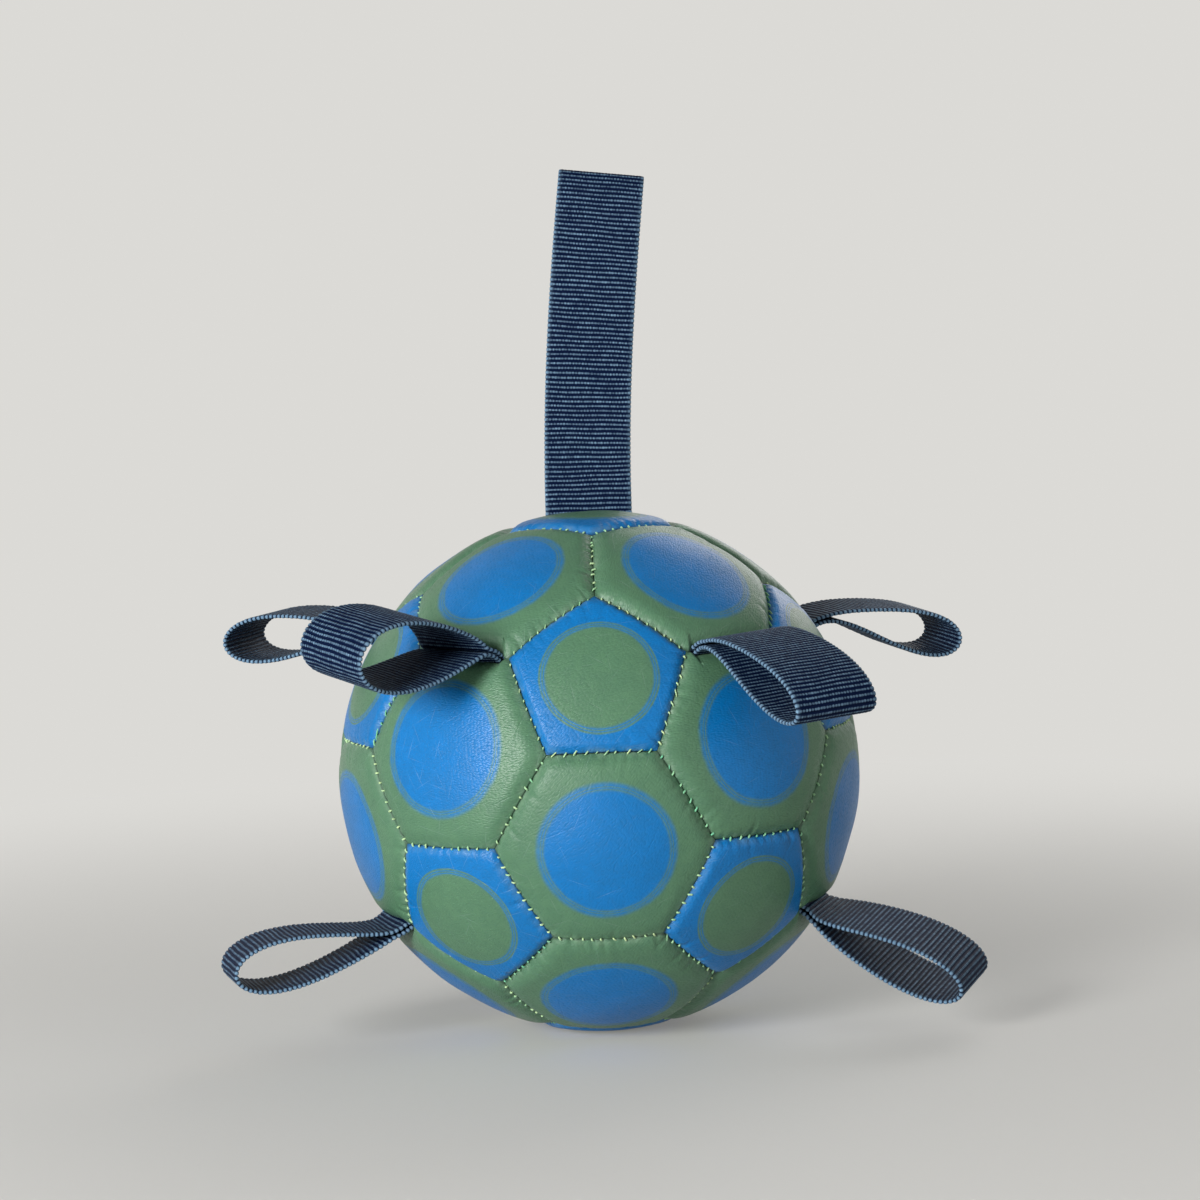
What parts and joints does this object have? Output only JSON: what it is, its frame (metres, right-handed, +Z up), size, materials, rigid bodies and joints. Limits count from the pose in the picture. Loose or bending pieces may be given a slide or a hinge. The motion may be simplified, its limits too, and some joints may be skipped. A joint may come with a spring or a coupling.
{
  "type": "dog toy soccer ball",
  "caption": "Inflatable ball of sewn pentagon and hexagon panels with webbing grab loops in its seams and a long throwing strap, for dogs to carry, tug and fetch.",
  "frame": {"origin": "middle of the small flat that the ball rests on, under its centre", "axes": "+Z up through the top pentagon, -Y the front, where a pentagon and the two front loops face the viewer, +X to the viewer's right"},
  "size_m": [0.2197, 0.2091, 0.2503],
  "materials": {
    "panel_green": "soft pebbled synthetic leather",
    "panel_blue": "soft pebbled synthetic leather",
    "webbing_navy": "ribbed woven nylon",
    "thread_pale": "twisted polyester thread",
    "bladder_rubber": "matt",
    "valve_rubber": "matt"
  },
  "bodies": {
    "ball": {"bladder": "bladder_rubber", "hexagon_base_1": "panel_green", "hexagon_base_2": "panel_green", "hexagon_base_3": "panel_green", "hexagon_base_4": "panel_green", "hexagon_base_5": "panel_green", "hexagon_crown_1": "panel_green", "hexagon_crown_2": "panel_green", "hexagon_crown_3": "panel_green", "hexagon_crown_4": "panel_green", "hexagon_crown_5": "panel_green", "hexagon_lower_1": "panel_green", "hexagon_lower_2": "panel_green", "hexagon_lower_3": "panel_green", "hexagon_lower_4": "panel_green", "hexagon_lower_5": "panel_green", "hexagon_upper_1": "panel_green", "hexagon_upper_2": "panel_green", "hexagon_upper_3": "panel_green", "hexagon_upper_4": "panel_green", "hexagon_upper_5": "panel_green", "loop_back_left_tail": "webbing_navy", "loop_back_right_tail": "webbing_navy", "loop_back_tail": "webbing_navy", "loop_front_left_tail": "webbing_navy", "loop_front_right_tail": "webbing_navy", "loop_low_left_tail": "webbing_navy", "loop_low_right_tail": "webbing_navy", "pentagon_bottom": "panel_blue", "pentagon_lower_1": "panel_blue", "pentagon_lower_2": "panel_blue", "pentagon_lower_3": "panel_blue", "pentagon_lower_4": "panel_blue", "pentagon_lower_5": "panel_blue", "pentagon_top": "panel_blue", "pentagon_upper_1": "panel_blue", "pentagon_upper_2": "panel_blue", "pentagon_upper_3": "panel_blue", "pentagon_upper_4": "panel_blue", "pentagon_upper_5": "panel_blue", "seam_thread": "thread_pale", "throw_strap_tail": "webbing_navy", "valve_core": "valve_rubber", "valve_stem": "valve_rubber"},
    "throw_strap": {"throw_strap": "webbing_navy"},
    "loop_front_left": {"loop_front_left": "webbing_navy"},
    "loop_front_right": {"loop_front_right": "webbing_navy"},
    "loop_back_left": {"loop_back_left": "webbing_navy"},
    "loop_back_right": {"loop_back_right": "webbing_navy"},
    "loop_back": {"loop_back": "webbing_navy"},
    "loop_low_left": {"loop_low_left": "webbing_navy"},
    "loop_low_right": {"loop_low_right": "webbing_navy"}
  },
  "joints": [
    {"name": "throw_strap_fold", "type": "hinge", "parent": "ball", "child": "throw_strap", "pos_m": [0, 0.02112, 0.14563], "axis": [-1, 0, 0], "range_deg": [-58, 58], "stiffness_Nm_per_rad": 0.05},
    {"name": "loop_front_left_fold", "type": "hinge", "parent": "ball", "child": "loop_front_left", "pos_m": [-0.03725, -0.05127, 0.11336], "axis": [0.809, -0.5878, 0], "range_deg": [-54, 42], "stiffness_Nm_per_rad": 0.03},
    {"name": "loop_front_right_fold", "type": "hinge", "parent": "ball", "child": "loop_front_right", "pos_m": [0.03725, -0.05127, 0.11336], "axis": [0.809, 0.5878, 0], "range_deg": [-58, 30], "stiffness_Nm_per_rad": 0.03},
    {"name": "loop_back_left_fold", "type": "hinge", "parent": "ball", "child": "loop_back_left", "pos_m": [-0.06027, 0.01958, 0.11336], "axis": [-0.309, -0.9511, 0], "range_deg": [-58, 50], "stiffness_Nm_per_rad": 0.03},
    {"name": "loop_back_right_fold", "type": "hinge", "parent": "ball", "child": "loop_back_right", "pos_m": [0.06027, 0.01958, 0.11336], "axis": [-0.309, 0.9511, 0], "range_deg": [-58, 45], "stiffness_Nm_per_rad": 0.03},
    {"name": "loop_back_fold", "type": "hinge", "parent": "ball", "child": "loop_back", "pos_m": [0, 0.06337, 0.11336], "axis": [-1, 0, 0], "range_deg": [-58, 45], "stiffness_Nm_per_rad": 0.03},
    {"name": "loop_low_left_fold", "type": "hinge", "parent": "ball", "child": "loop_low_left", "pos_m": [-0.06027, -0.01958, 0.03502], "axis": [0.309, -0.9511, 0], "range_deg": [-50, 28], "stiffness_Nm_per_rad": 0.03},
    {"name": "loop_low_right_fold", "type": "hinge", "parent": "ball", "child": "loop_low_right", "pos_m": [0.06027, -0.01958, 0.03502], "axis": [0.309, 0.9511, 0], "range_deg": [-54, 13], "stiffness_Nm_per_rad": 0.03}
  ]
}
